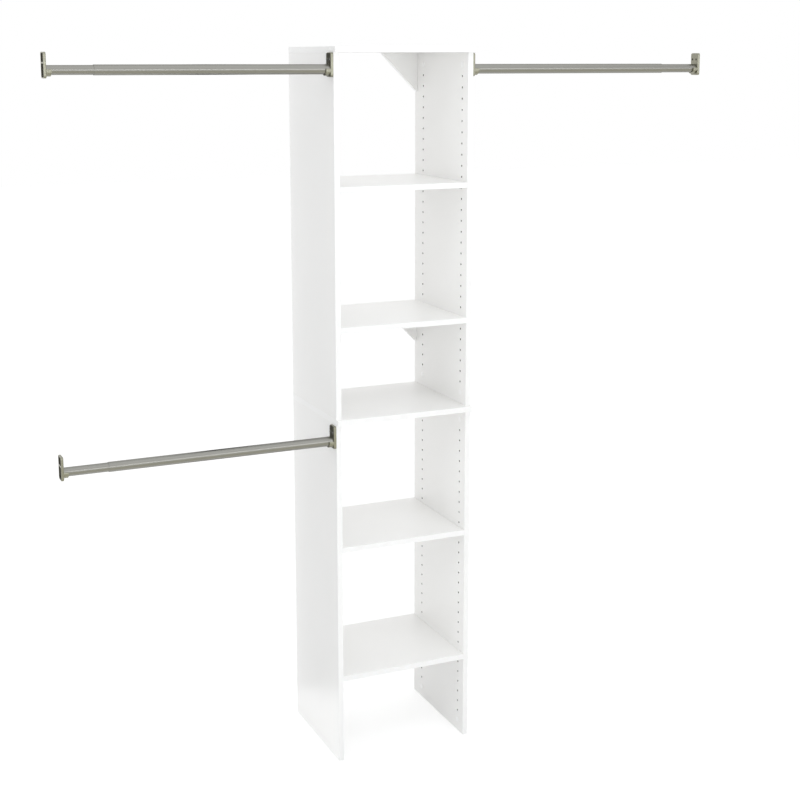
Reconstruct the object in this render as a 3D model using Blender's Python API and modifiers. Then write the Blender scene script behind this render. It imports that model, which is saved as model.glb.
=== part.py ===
"""A white laminate closet tower with three telescoping hang rods, as separate boards and fittings.

Metres, +Z up. The origin is on the floor under the middle of the whole assembly. +X is to the
right as seen from the room, the open front faces -Y, and the wall behind is at +Y.
"""

import math

import bmesh
import bpy
from mathutils import Matrix, Vector

# Boards of the tower
BOARD = 0.0159
TOWER_WIDTH = 0.4266
CAP_DEPTH = 0.3715
FRONT_LIP = 0.0127
SIDE_HEIGHT = 1.0287
EDGE_EASING = 0.0006
GUSSET_LEG = 0.114
GUSSET_TIP = 0.004

# Clearances
FIT_GAP = 0.0003
SHELF_PLAY = 0.0006
CUT_OVERRUN = 0.002

# Columns of shelf-pin holes on the inner faces of the sides
HOLE_PITCH = 0.032
HOLE_DIAMETER = 0.005
WALL_PAST_HOLE = 0.0039
HOLE_SIDES = 6
FRONT_HOLE_INSET = 0.037
REAR_HOLE_INSET = 0.059
PLAIN_END = 0.060

# Places of the shelves, as shares of the column of holes, and how low a fixed one sits on its hole
LOOSE_SHELF_SHARE = 0.62
FIXED_SHELF_SHARE = 0.21
FIXED_SHELF_SEAT = 0.0095

# Shelf pins
PIN_SPARE = 0.0026
PIN_TAB_WIDTH = 0.008
PIN_TAB_REACH = 0.0075
PIN_TAB_RISE = 0.0005
PIN_SIDES = 8

# Cam locks in the ends of the sides, and the bolts that they pull on
CAM_BORE = 0.015
WALL_PAST_CAM = 0.0031
CAM_FROM_END = 0.034
CAM_SIDES = 16
CAM_CROSS_LENGTH = 0.009
CAM_CROSS_WIDTH = 0.0016
CAM_CROSS_DEPTH = 0.0018
BOLT_BORE = 0.0072
BOLT_NECK = 0.0036
BOLT_HEAD_LENGTH = 0.003
BOLT_NECK_LENGTH = 0.0045
WALL_PAST_BOLT = 0.0049
BOLT_SIDES = 8

# Hang rods
OUTER_TUBE_LENGTH = 0.6424
OUTER_TUBE_DIAMETER = 0.0275
TUBE_WALL = 0.0009
TUBE_PLAY = 0.0004
INNER_TUBE_SHOWING = 0.1207
INNER_TUBE_HIDDEN_SHARE = 0.75
TUBE_SIDES = 28

# Rod flanges
FLANGE_WIDTH = 0.037
FLANGE_THICKNESS = 0.007
FLANGE_SKIN = 0.003
FLANGE_RIM = 0.0028
FLANGE_CORNER = 0.006
FLANGE_EASING = 0.0012
FLANGE_RIB = 0.004
FLANGE_FRONT_INSET = 0.001
CUP_ABOVE_FOOT = 0.00315
CUP_LENGTH = 0.013
CUP_WALL = 0.0035
CUP_LIP = 0.002
CUP_SIDES = 20
UPPER_FLANGE_DROP = 0.0005
LOWER_FLANGE_DROP = 0.0035

# Screws that hold the flanges to the tower
SCREW_SPACING = 0.018
SCREW_BELOW_TOP = 0.019
SCREW_ABOVE_TUBE = 0.01255
SCREW_SHANK = 0.0038
SCREW_HEAD = 0.008
SCREW_HEAD_HEIGHT = 0.0024
WALL_PAST_SCREW = 0.0046
SCREW_CROSS_WIDTH = 0.0009
SCREW_CROSS_DEPTH = 0.0012
SCREW_SIDES = 10

# Points of a mesh that lie this near to each other are one point
SAME_POINT = 0.00001

# Places worked out from the sizes above
SIDE_DEPTH = CAP_DEPTH - FRONT_LIP
REAR = CAP_DEPTH / 2
SIDE_FRONT = REAR - SIDE_DEPTH
OUTER_X = TOWER_WIDTH / 2
INNER_X = OUTER_X - BOARD
LOWER_BASE = 0.0
MIDDLE_BASE = LOWER_BASE + SIDE_HEIGHT + FIT_GAP
UPPER_BASE = MIDDLE_BASE + BOARD + FIT_GAP
TOP_BASE = UPPER_BASE + SIDE_HEIGHT + FIT_GAP
HOLE_COUNT = int((SIDE_HEIGHT - 2 * PLAIN_END) / HOLE_PITCH) + 1
FIRST_HOLE = (SIDE_HEIGHT - (HOLE_COUNT - 1) * HOLE_PITCH) / 2
COLUMNS = {"front": SIDE_FRONT + FRONT_HOLE_INSET, "rear": REAR - REAR_HOLE_INSET}
HANDS = {"left": -1, "right": 1}
UNITS = {"lower": LOWER_BASE, "upper": UPPER_BASE}
LOOSE_SHELF_HOLE = round(HOLE_COUNT * LOOSE_SHELF_SHARE)
FIXED_SHELF_HOLE = round(HOLE_COUNT * FIXED_SHELF_SHARE)
BOARD_MIDDLE = BOARD / 2

# Depths and lengths that follow the board and the tubes
HOLE_DEPTH = BOARD - WALL_PAST_HOLE
PIN_PEG = HOLE_DEPTH - PIN_SPARE
PIN_REST = HOLE_DIAMETER / 2 + PIN_TAB_RISE
CAM_BORE_DEPTH = BOARD - WALL_PAST_CAM
BOLT_SCREWED_DEPTH = BOARD - WALL_PAST_BOLT
SCREW_BITE = BOARD - WALL_PAST_SCREW - FIT_GAP
ROD_Y = SIDE_FRONT + FLANGE_FRONT_INSET + FLANGE_WIDTH / 2
INNER_TUBE_DIAMETER = OUTER_TUBE_DIAMETER - 2 * (TUBE_WALL + TUBE_PLAY)
INNER_TUBE_LENGTH = INNER_TUBE_SHOWING + OUTER_TUBE_LENGTH * INNER_TUBE_HIDDEN_SHARE
CUP_OUTSIDE = OUTER_TUBE_DIAMETER + 2 * (FIT_GAP + CUP_WALL)
AXIS_ABOVE_FOOT = CUP_ABOVE_FOOT + CUP_OUTSIDE / 2
SCREW_ABOVE_AXIS = OUTER_TUBE_DIAMETER / 2 + SCREW_ABOVE_TUBE
FLANGE_HEIGHT = AXIS_ABOVE_FOOT + SCREW_ABOVE_AXIS + SCREW_BELOW_TOP

# Each hang rod: its side of the tower, the side board that carries it, and its flange's drop
RODS = {
    "upper_left": (-1, UPPER_BASE, UPPER_FLANGE_DROP),
    "lower_left": (-1, LOWER_BASE, LOWER_FLANGE_DROP),
    "upper_right": (1, UPPER_BASE, UPPER_FLANGE_DROP),
}


def clear_scene():
    """Removes what a new scene starts with."""
    for old in list(bpy.data.objects):
        bpy.data.objects.remove(old, do_unlink=True)


def new_collection(name):
    """A collection in the scene for the parts or for the cutters."""
    made = bpy.data.collections.new(name)
    bpy.context.scene.collection.children.link(made)
    return made


def new_material(name, colour, roughness, metallic):
    """A plain Principled material with the piece's own colour and gloss."""
    made = bpy.data.materials.new(name)
    made.use_nodes = True
    shader = made.node_tree.nodes["Principled BSDF"]
    shader.inputs["Base Color"].default_value = (*colour, 1.0)
    shader.inputs["Roughness"].default_value = roughness
    shader.inputs["Metallic"].default_value = metallic
    made.diffuse_color = (*colour, 1.0)
    return made


clear_scene()
PARTS = new_collection("closet_tower")
CUTTERS = new_collection("cutters")
LAMINATE = new_material("white_laminate", (0.86, 0.86, 0.85), 0.45, 0.0)
NICKEL = new_material("satin_nickel", (0.62, 0.61, 0.57), 0.3, 1.0)
CAST_METAL = new_material("cast_flange_metal", (0.58, 0.57, 0.50), 0.38, 1.0)
CAM_WHITE = new_material("cam_lock_white", (0.88, 0.88, 0.87), 0.35, 0.0)
STEEL = new_material("zinc_plated_steel", (0.55, 0.55, 0.53), 0.35, 1.0)


def add_object(name, mesh, material, collection):
    """Puts a mesh into the scene as one named piece."""
    piece = bpy.data.objects.new(name, mesh)
    if material:
        mesh.materials.append(material)
    collection.objects.link(piece)
    return piece


def mesh_from(bm, name):
    """Turns an edited mesh into mesh data with its faces pointing out."""
    bmesh.ops.recalc_face_normals(bm, faces=bm.faces)
    mesh = bpy.data.meshes.new(name)
    bm.to_mesh(mesh)
    bm.free()
    return mesh


def add_box(bm, size, centre):
    """Adds a box to an edited mesh."""
    place = Matrix.Translation(Vector(centre)) @ Matrix.Diagonal((*size, 1.0))
    bmesh.ops.create_cube(bm, size=1.0, matrix=place)


def add_rod(bm, diameter, start, end, sides):
    """Adds a closed cylinder between two points to an edited mesh."""
    start, end = Vector(start), Vector(end)
    along = end - start
    turn = along.to_track_quat("Z", "Y").to_matrix().to_4x4()
    place = Matrix.Translation((start + end) / 2) @ turn
    bmesh.ops.create_cone(
        bm, cap_ends=True, segments=sides, radius1=diameter / 2, radius2=diameter / 2,
        depth=along.length, matrix=place,
    )


def add_bore(bm, diameter, start, end, sides):
    """Adds a cylinder that cuts a bore: its flat sides lie outside the diameter, not inside it."""
    add_rod(bm, diameter / math.cos(math.pi / sides), start, end, sides)


def cut(piece, cutter_mesh, operation="DIFFERENCE"):
    """Cuts a piece with a mesh, or joins that mesh to it."""
    cutter = add_object(piece.name + "_cutter", cutter_mesh, None, CUTTERS)
    cutter.hide_render = True
    cutter.display_type = "WIRE"
    step = piece.modifiers.new(operation.title(), "BOOLEAN")
    step.operation = operation
    step.solver = "EXACT"
    step.object = cutter
    return cutter


def board(name, size, centre):
    """A laminate board with lightly eased edges."""
    bm = bmesh.new()
    add_box(bm, size, (0, 0, 0))
    piece = add_object(name, mesh_from(bm, name), LAMINATE, PARTS)
    piece.location = centre
    ease = piece.modifiers.new("Eased edges", "BEVEL")
    ease.width = EDGE_EASING
    ease.segments = 1
    return piece


def turned(name, profile, steps, closed, material):
    """A piece turned round its own Z axis from a profile of (radius, height) points."""
    mesh = bpy.data.meshes.new(name)
    edges = [(n, n + 1) for n in range(len(profile) - 1)]
    if closed:
        edges.append((len(profile) - 1, 0))
    mesh.from_pydata([(radius, 0, height) for radius, height in profile], edges, [])
    piece = add_object(name, mesh, material, PARTS)
    screw = piece.modifiers.new("Turned", "SCREW")
    screw.axis = "Z"
    screw.angle = 2 * math.pi
    screw.steps = screw.render_steps = steps
    screw.use_merge_vertices = True
    screw.merge_threshold = SAME_POINT
    screw.use_smooth_shade = True
    return piece


def point_along_x(piece, direction):
    """Turns a piece so that its own Z axis points along +X or -X."""
    piece.rotation_euler = (0, direction * math.pi / 2, 0)


def hole_height(base, number):
    """Height of a numbered shelf-pin hole, counted up from the lowest."""
    return base + FIRST_HOLE + number * HOLE_PITCH


# The boards of the tower


def cap_panels():
    """The top and middle panels, which lie over the sides and reach past them at the front."""
    for name, base in (("top_panel", TOP_BASE), ("middle_panel", MIDDLE_BASE)):
        panel = board(name, (TOWER_WIDTH, CAP_DEPTH, BOARD), (0, 0, base + BOARD / 2))
        bores = bmesh.new()
        for hand in HANDS.values():
            for y in COLUMNS.values():
                x = hand * (OUTER_X - BOARD_MIDDLE)
                low = (x, y, -BOARD / 2 - CUT_OVERRUN)
                through = name == "middle_panel"
                top = BOARD / 2 + CUT_OVERRUN if through else BOLT_SCREWED_DEPTH - BOARD / 2
                add_bore(bores, BOLT_BORE, low, (x, y, top), BOLT_SIDES)
        cutter = cut(panel, mesh_from(bores, name + "_bores"))
        cutter.location = panel.location


def side_panels():
    """The four sides, with their pin holes, cam bores, bolt bores and flange screw holes."""
    for unit, base in UNITS.items():
        for hand_name, hand in HANDS.items():
            centre = Vector((hand * (OUTER_X - BOARD / 2), REAR - SIDE_DEPTH / 2, base + SIDE_HEIGHT / 2))
            name = f"{unit}_{hand_name}_side"
            side = board(name, (BOARD, SIDE_DEPTH, SIDE_HEIGHT), centre)
            pin_holes, cam_bores, fixing_bores = bmesh.new(), bmesh.new(), bmesh.new()
            mouth = hand * (INNER_X - CUT_OVERRUN)
            for y in COLUMNS.values():
                floor = hand * (INNER_X + HOLE_DEPTH)
                for number in range(HOLE_COUNT):
                    z = hole_height(base, number)
                    add_bore(pin_holes, HOLE_DIAMETER, (mouth, y, z), (floor, y, z), HOLE_SIDES)
                floor = hand * (INNER_X + CAM_BORE_DEPTH)
                x = hand * (INNER_X + BOARD_MIDDLE)
                for z, end in cam_ends(unit, base):
                    add_bore(cam_bores, CAM_BORE, (mouth, y, z), (floor, y, z), CAM_SIDES)
                    outside = z + end * (CAM_FROM_END + CUT_OVERRUN)
                    add_bore(fixing_bores, BOLT_BORE, (x, y, z), (x, y, outside), BOLT_SIDES)
            for rod_hand, rod_base, drop in RODS.values():
                if rod_hand == hand and rod_base == base:
                    add_screw_bores(fixing_bores, hand, screw_places(base, drop))
            cut(side, mesh_from(pin_holes, name + "_holes"))
            cut(side, mesh_from(cam_bores, name + "_cam_bores"))
            cut(side, mesh_from(fixing_bores, name + "_fixing_bores"))


def add_screw_bores(bm, hand, places):
    """Adds the bores in a side's outer face for the screws of a rod flange."""
    diameter = SCREW_SHANK + 2 * FIT_GAP
    for y, z in places:
        start = hand * (OUTER_X + CUT_OVERRUN)
        floor = hand * (OUTER_X - SCREW_BITE - FIT_GAP)
        add_bore(bm, diameter, (start, y, z), (floor, y, z), SCREW_SIDES)


def cam_ends(unit, base):
    """Height of each row of cam locks in a side, and which way its bolts come in."""
    rows = [(base + SIDE_HEIGHT - CAM_FROM_END, 1)]
    if unit == "upper":
        rows.append((base + CAM_FROM_END, -1))
    return rows


def shelves():
    """Two loose shelves on pins and two fixed shelves, one of each in either half of the tower."""
    y = REAR - SIDE_DEPTH / 2
    for unit, base in UNITS.items():
        seat = hole_height(base, LOOSE_SHELF_HOLE) + PIN_REST
        loose = (2 * (INNER_X - SHELF_PLAY), SIDE_DEPTH, BOARD)
        board(f"{unit}_loose_shelf", loose, (0, y, seat + BOARD / 2))
        seat = hole_height(base, FIXED_SHELF_HOLE) - FIXED_SHELF_SEAT
        fixed = (2 * (INNER_X - FIT_GAP), SIDE_DEPTH, BOARD)
        board(f"{unit}_fixed_shelf", fixed, (0, y, seat + BOARD / 2))


def gussets():
    """The two triangular boards in the rear right corner that square and brace the tower."""
    shelf_underside = hole_height(UPPER_BASE, FIXED_SHELF_HOLE) - FIXED_SHELF_SEAT
    for name, ceiling in (("top_gusset", TOP_BASE), ("shelf_gusset", shelf_underside)):
        outline = (
            (0, 0), (0, -GUSSET_LEG), (-GUSSET_TIP, -GUSSET_LEG),
            (-GUSSET_LEG, -GUSSET_TIP), (-GUSSET_LEG, 0),
        )
        curve = bpy.data.curves.new(name, "CURVE")
        curve.dimensions = "2D"
        curve.fill_mode = "BOTH"
        curve.extrude = BOARD / 2
        line = curve.splines.new("POLY")
        line.points.add(len(outline) - 1)
        for point, (x, z) in zip(line.points, outline):
            point.co = (x, z, 0, 1)
        line.use_cyclic_u = True
        guide = bpy.data.objects.new(name + "_outline", curve)
        CUTTERS.objects.link(guide)
        bpy.context.view_layer.update()
        flat = guide.evaluated_get(bpy.context.evaluated_depsgraph_get())
        mesh = bpy.data.meshes.new_from_object(flat)
        bpy.data.objects.remove(guide)
        bm = bmesh.new()
        bm.from_mesh(mesh)
        bmesh.ops.remove_doubles(bm, verts=bm.verts, dist=SAME_POINT)
        gusset = add_object(name, mesh_from(bm, name), LAMINATE, PARTS)
        gusset.rotation_euler = (math.pi / 2, 0, 0)
        gusset.location = (INNER_X - FIT_GAP, REAR - BOARD / 2, ceiling - FIT_GAP)


# The hardware of the boards


def shelf_pins():
    """Four pins under each loose shelf: a peg in the hole, and a tab that carries the shelf."""
    for unit, base in UNITS.items():
        z = hole_height(base, LOOSE_SHELF_HOLE)
        for hand_name, hand in HANDS.items():
            for column, y in COLUMNS.items():
                face = INNER_X - FIT_GAP
                peg = bmesh.new()
                diameter = HOLE_DIAMETER - 2 * FIT_GAP
                outer = face - PIN_TAB_REACH
                add_rod(peg, diameter, (hand * (face + PIN_PEG), 0, 0), (hand * outer, 0, 0), PIN_SIDES)
                name = f"{unit}_{hand_name}_{column}_shelf_pin"
                pin = add_object(name, mesh_from(peg, name), STEEL, PARTS)
                pin.location = (0, y, z)
                tab = bmesh.new()
                top = PIN_REST - FIT_GAP
                size = (PIN_TAB_REACH, PIN_TAB_WIDTH, top)
                add_box(tab, size, (hand * (face - PIN_TAB_REACH / 2), 0, top / 2))
                joined = cut(pin, mesh_from(tab, name + "_tab"), "UNION")
                joined.location = pin.location


def cam_locks():
    """The round locks in the ends of the sides. Each has a mouth for its bolt's head."""
    diameter = CAM_BORE - 2 * FIT_GAP
    depth = CAM_BORE_DEPTH - FIT_GAP
    for unit, base in UNITS.items():
        for z, end in cam_ends(unit, base):
            place = "top" if end > 0 else "bottom"
            for hand_name, hand in HANDS.items():
                for column, y in COLUMNS.items():
                    name = f"{unit}_{hand_name}_{place}_{column}_cam"
                    disc = bmesh.new()
                    add_rod(disc, diameter, (0, 0, 0), (hand * depth, 0, 0), CAM_SIDES)
                    cam = add_object(name, mesh_from(disc, name), CAM_WHITE, PARTS)
                    cam.location = (hand * INNER_X, y, z)
                    cam_mouth(cam, hand, end)
                    cam_cross(cam, hand)


def cam_mouth(cam, hand, end):
    """Cuts the pocket that takes the bolt's head, open towards the board's end."""
    reach = CAM_BORE / 2 + CUT_OVERRUN
    back = BOLT_HEAD_LENGTH / 2 + FIT_GAP
    pocket = bmesh.new()
    size = (BOLT_BORE, BOLT_BORE, reach + back)
    add_box(pocket, size, (hand * BOARD_MIDDLE, 0, end * (reach - back) / 2))
    cutter = cut(cam, mesh_from(pocket, cam.name + "_mouth"))
    cutter.location = cam.location


def cam_cross(cam, hand):
    """Cuts the driver cross into the face that shows inside the tower."""
    for size in (
        (CAM_CROSS_DEPTH + CUT_OVERRUN, CAM_CROSS_LENGTH, CAM_CROSS_WIDTH),
        (CAM_CROSS_DEPTH + CUT_OVERRUN, CAM_CROSS_WIDTH, CAM_CROSS_LENGTH),
    ):
        slot = bmesh.new()
        add_box(slot, size, (hand * (CAM_CROSS_DEPTH - CUT_OVERRUN) / 2, 0, 0))
        cutter = cut(cam, mesh_from(slot, cam.name + "_slot"))
        cutter.location = cam.location


def bolt_end(start):
    """Profile of the end that a cam holds, from the board's end down to the head."""
    shank = BOLT_BORE / 2 - FIT_GAP
    head_top = start - CAM_FROM_END + BOLT_HEAD_LENGTH / 2
    neck_top = head_top + BOLT_NECK_LENGTH
    return [
        (shank, neck_top), (BOLT_NECK / 2, neck_top), (BOLT_NECK / 2, head_top),
        (shank, head_top), (shank, head_top - BOLT_HEAD_LENGTH), (0, head_top - BOLT_HEAD_LENGTH),
    ]


def cam_bolts():
    """Bolts screwed up into the top panel, and double-ended bolts through the middle panel."""
    shank = BOLT_BORE / 2 - FIT_GAP
    for hand_name, hand in HANDS.items():
        for column, y in COLUMNS.items():
            x = hand * (OUTER_X - BOARD_MIDDLE)
            tip = BOLT_SCREWED_DEPTH - FIT_GAP
            below = bolt_end(-FIT_GAP)
            profile = [(0, tip), (shank, tip), *below]
            bolt = turned(f"top_{hand_name}_{column}_bolt", profile, BOLT_SIDES, False, STEEL)
            bolt.location = (x, y, TOP_BASE)
            middle = BOARD / 2 + FIT_GAP
            lower_half = bolt_end(-middle)
            upper_half = [(radius, -height) for radius, height in reversed(lower_half)]
            profile = [*upper_half, *lower_half]
            bolt = turned(f"middle_{hand_name}_{column}_bolt", profile, BOLT_SIDES, False, STEEL)
            bolt.location = (x, y, MIDDLE_BASE + BOARD / 2)


# The hang rods


def rod_height(base, drop):
    """Height of a rod's axis above the floor."""
    return base + SIDE_HEIGHT - drop - FLANGE_HEIGHT + AXIS_ABOVE_FOOT


def screw_places(base, drop):
    """Places of a flange's two screws on the side's outer face."""
    z = base + SIDE_HEIGHT - drop - SCREW_BELOW_TOP
    return [(ROD_Y + step * SCREW_SPACING / 2, z) for step in (-1, 1)]


def tube(name, diameter, start, end, y, z):
    """A thin-walled steel tube along X, open at both ends."""
    length = abs(end - start)
    radius = diameter / 2
    bore = radius - TUBE_WALL
    half = length / 2
    profile = [(radius, half), (radius, -half), (bore, -half), (bore, half)]
    piece = turned(name, profile, TUBE_SIDES, True, NICKEL)
    point_along_x(piece, 1)
    piece.location = ((start + end) / 2, y, z)
    return piece


def flange(name, tube_diameter, back_x, outward, z):
    """A cast flange: a hollow-backed plate with two screw holes, and a cup open at the top.

    back_x is the face that it is screwed to, and outward is the way its cup points along X.
    """
    plate = bmesh.new()
    add_box(plate, (FLANGE_THICKNESS, FLANGE_WIDTH, FLANGE_HEIGHT), (0, 0, 0))
    along_x = [
        edge for edge in plate.edges
        if abs(edge.verts[0].co.x - edge.verts[1].co.x) > FLANGE_THICKNESS / 2
    ]
    bmesh.ops.bevel(
        plate, geom=along_x, offset=FLANGE_CORNER, offset_type="OFFSET", segments=4,
        profile=0.5, affect="EDGES",
    )
    front = [
        edge for edge in plate.edges
        if all(outward * vert.co.x > 0 for vert in edge.verts)
    ]
    bmesh.ops.bevel(
        plate, geom=front, offset=FLANGE_EASING, offset_type="OFFSET", segments=1,
        profile=0.5, affect="EDGES",
    )
    piece = add_object(name, mesh_from(plate, name), CAST_METAL, PARTS)
    centre_z = z - AXIS_ABOVE_FOOT + FLANGE_HEIGHT / 2
    piece.location = (back_x + outward * FLANGE_THICKNESS / 2, ROD_Y, centre_z)
    axis = z - centre_z
    face = outward * FLANGE_THICKNESS / 2
    tip = face + outward * CUP_LENGTH
    inside = tube_diameter + 2 * FIT_GAP
    outside = inside + 2 * CUP_WALL
    buried = face - outward * FLANGE_SKIN / 2

    def shape(label, build, operation="DIFFERENCE"):
        bm = bmesh.new()
        build(bm)
        cutter = cut(piece, mesh_from(bm, f"{name}_{label}"), operation)
        cutter.location = piece.location

    def cup_bottom(bm):
        add_rod(bm, outside, (buried, 0, axis), (tip, 0, axis), CUP_SIDES)

    def cup_sides(bm):
        height = outside / 2
        size = (abs(tip - buried), outside, height)
        add_box(bm, size, ((tip + buried) / 2, 0, axis + CUP_LIP - height / 2))

    def tube_seat(bm):
        add_bore(bm, inside, (face, 0, axis), (tip + outward * CUT_OVERRUN, 0, axis), CUP_SIDES)

    def cup_mouth(bm):
        height = outside
        size = (CUP_LENGTH + CUT_OVERRUN, inside, height)
        middle = face + outward * (CUP_LENGTH + CUT_OVERRUN) / 2
        add_box(bm, size, (middle, 0, axis + height / 2))

    def cup_trim(bm):
        height = outside
        size = (CUP_LENGTH + CUT_OVERRUN, outside + CUT_OVERRUN, height)
        middle = face + outward * (CUP_LENGTH + CUT_OVERRUN) / 2
        add_box(bm, size, (middle, 0, axis + CUP_LIP + height / 2))

    def back_hollow(bm):
        rib = axis + outside / 2 + FLANGE_RIB / 2
        depth = FLANGE_THICKNESS - FLANGE_SKIN
        x = -face + outward * (depth - CUT_OVERRUN) / 2
        ceiling = FLANGE_HEIGHT / 2 - FLANGE_RIM
        for low, high in ((-ceiling, rib - FLANGE_RIB / 2), (rib + FLANGE_RIB / 2, ceiling)):
            size = (depth + CUT_OVERRUN, FLANGE_WIDTH - 2 * FLANGE_RIM, high - low)
            add_box(bm, size, (x, 0, (low + high) / 2))

    def screw_holes(bm):
        height = axis + SCREW_ABOVE_AXIS
        through = FLANGE_THICKNESS / 2 + CUT_OVERRUN
        for step in (-1, 1):
            y = step * SCREW_SPACING / 2
            hole = SCREW_SHANK + 2 * FIT_GAP
            add_bore(bm, hole, (-through, y, height), (through, y, height), SCREW_SIDES)

    shape("cup_bottom", cup_bottom, "UNION")
    shape("cup_sides", cup_sides, "UNION")
    shape("cup_trim", cup_trim)
    shape("tube_seat", tube_seat)
    shape("cup_mouth", cup_mouth)
    shape("back_hollow", back_hollow)
    shape("screw_holes", screw_holes)
    return piece


def flange_screw(name, x, y, z, outward):
    """A pan-head screw through a flange into the side."""
    shank = SCREW_SHANK / 2
    head = SCREW_HEAD / 2
    under_head = FLANGE_THICKNESS + 2 * FIT_GAP
    top = under_head + SCREW_HEAD_HEIGHT
    point = -SCREW_BITE
    profile = [
        (0, top), (head / 2, top), (head, under_head + SCREW_HEAD_HEIGHT / 2), (head, under_head),
        (shank, under_head), (shank, point + SCREW_SHANK), (0, point),
    ]
    screw = turned(name, profile, SCREW_SIDES, False, STEEL)
    point_along_x(screw, outward)
    screw.location = (x, y, z)
    for width, length in ((SCREW_CROSS_WIDTH, SCREW_HEAD / 2), (SCREW_HEAD / 2, SCREW_CROSS_WIDTH)):
        slot = bmesh.new()
        depth = SCREW_CROSS_DEPTH + CUT_OVERRUN
        middle = outward * (top + (CUT_OVERRUN - SCREW_CROSS_DEPTH) / 2)
        add_box(slot, (depth, width, length), (middle, 0, 0))
        cutter = cut(screw, mesh_from(slot, name + "_slot"))
        cutter.location = screw.location


def hang_rods():
    """Three telescoping rods: the larger tube at the tower, the smaller one at the room's wall."""
    for rod, (hand, base, drop) in RODS.items():
        z = rod_height(base, drop)
        tower_face = hand * OUTER_X
        start = tower_face + hand * (FLANGE_THICKNESS + 2 * FIT_GAP)
        end = start + hand * OUTER_TUBE_LENGTH
        tube(f"{rod}_outer_tube", OUTER_TUBE_DIAMETER, start, end, ROD_Y, z)
        wall_end = end + hand * INNER_TUBE_SHOWING
        inner_end = wall_end - hand * INNER_TUBE_LENGTH
        tube(f"{rod}_inner_tube", INNER_TUBE_DIAMETER, inner_end, wall_end, ROD_Y, z)
        wall_face = wall_end + hand * (FLANGE_THICKNESS + FIT_GAP)
        tower_back = tower_face + hand * FIT_GAP
        flange(f"{rod}_tower_flange", OUTER_TUBE_DIAMETER, tower_back, hand, z)
        flange(f"{rod}_wall_flange", INNER_TUBE_DIAMETER, wall_face, -hand, z)
        for label, (y, height) in zip(("front", "rear"), screw_places(base, drop)):
            flange_screw(f"{rod}_{label}_flange_screw", tower_face, y, height, hand)


cap_panels()
side_panels()
shelves()
gussets()
shelf_pins()
cam_locks()
cam_bolts()
hang_rods()
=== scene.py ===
"""A white laminate closet tower with three telescoping hang rods, as it stands in the studio.

Metres, +Z up. +X is to the right as seen from the room, and the open front faces -Y.
"""

import math

import bmesh
import bpy
from mathutils import Matrix, Vector


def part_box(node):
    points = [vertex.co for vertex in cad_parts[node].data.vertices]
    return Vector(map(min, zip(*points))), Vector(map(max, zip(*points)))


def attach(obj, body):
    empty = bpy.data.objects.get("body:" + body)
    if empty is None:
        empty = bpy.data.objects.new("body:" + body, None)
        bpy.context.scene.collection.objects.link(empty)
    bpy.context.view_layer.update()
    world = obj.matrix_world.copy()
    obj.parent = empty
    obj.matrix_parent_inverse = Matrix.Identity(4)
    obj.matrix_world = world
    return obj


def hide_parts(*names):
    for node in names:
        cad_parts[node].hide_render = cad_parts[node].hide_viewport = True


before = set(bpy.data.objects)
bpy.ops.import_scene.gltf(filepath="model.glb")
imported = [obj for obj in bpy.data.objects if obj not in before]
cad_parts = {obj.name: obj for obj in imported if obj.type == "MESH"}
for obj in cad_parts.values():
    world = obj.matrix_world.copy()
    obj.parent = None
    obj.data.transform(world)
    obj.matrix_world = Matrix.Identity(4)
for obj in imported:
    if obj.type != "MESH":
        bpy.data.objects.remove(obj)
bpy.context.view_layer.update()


# Top and middle panels
# Two boards of particle board faced with white melamine and banded on all four edges. They lie
# over the ends of the sides, reach past them at the front, and are drawn down by cam bolts.

MELAMINE_WHITE = (0.945, 0.941, 0.929)
MELAMINE_SHADE = (0.932, 0.928, 0.916)
BAND_WHITE = (0.96, 0.958, 0.95)
BAND_SHADE = (0.952, 0.95, 0.942)
GLUE_GREY = (0.60, 0.59, 0.56)
PEARL_GRAIN = 0.0009
PEARL_DEPTH = 0.000004
MELAMINE_ROUGH = (0.29, 0.34)
BAND_ROUGH = 0.34
GLUE_ROUGH = 0.6
PATCH_OF_SHADE = 0.18
GLUE_SPECK = 0.0022
EDGE_ROUND = 0.0004
MEETING = 0.00025
BAND_FROM_EDGE = 0.0009
SEAM_WIDTH = 0.0002


def finish(name, colour, roughness, metallic=0.0):
    """A Principled material with its node tree and its shader."""
    made = bpy.data.materials.new(name)
    made.use_nodes = True
    tree = made.node_tree
    shader = tree.nodes["Principled BSDF"]
    shader.inputs["Base Color"].default_value = (*colour, 1.0)
    shader.inputs["Roughness"].default_value = roughness
    shader.inputs["Metallic"].default_value = metallic
    return made, tree, shader


def on_piece(tree, stretch=(1.0, 1.0, 1.0)):
    """Places on the piece itself, drawn out along an axis where the stretch is under 1."""
    places = tree.nodes.new("ShaderNodeTexCoord")
    drawn = tree.nodes.new("ShaderNodeMapping")
    drawn.inputs["Scale"].default_value = stretch
    tree.links.new(places.outputs["Object"], drawn.inputs["Vector"])
    return drawn.outputs["Vector"]


def mottle(tree, size, stretch=(1.0, 1.0, 1.0), detail=2.0):
    """Soft noise whose patches are about the given size."""
    cloud = tree.nodes.new("ShaderNodeTexNoise")
    cloud.inputs["Scale"].default_value = 1.0 / size
    cloud.inputs["Detail"].default_value = detail
    tree.links.new(on_piece(tree, stretch), cloud.inputs["Vector"])
    return cloud.outputs["Fac"]


def spread(tree, value, low, high):
    """Stretches the middle of a noise over a range of values."""
    ranged = tree.nodes.new("ShaderNodeMapRange")
    ranged.inputs["From Min"].default_value = 0.3
    ranged.inputs["From Max"].default_value = 0.7
    ranged.inputs["To Min"].default_value = low
    ranged.inputs["To Max"].default_value = high
    tree.links.new(value, ranged.inputs["Value"])
    return ranged.outputs["Result"]


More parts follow.
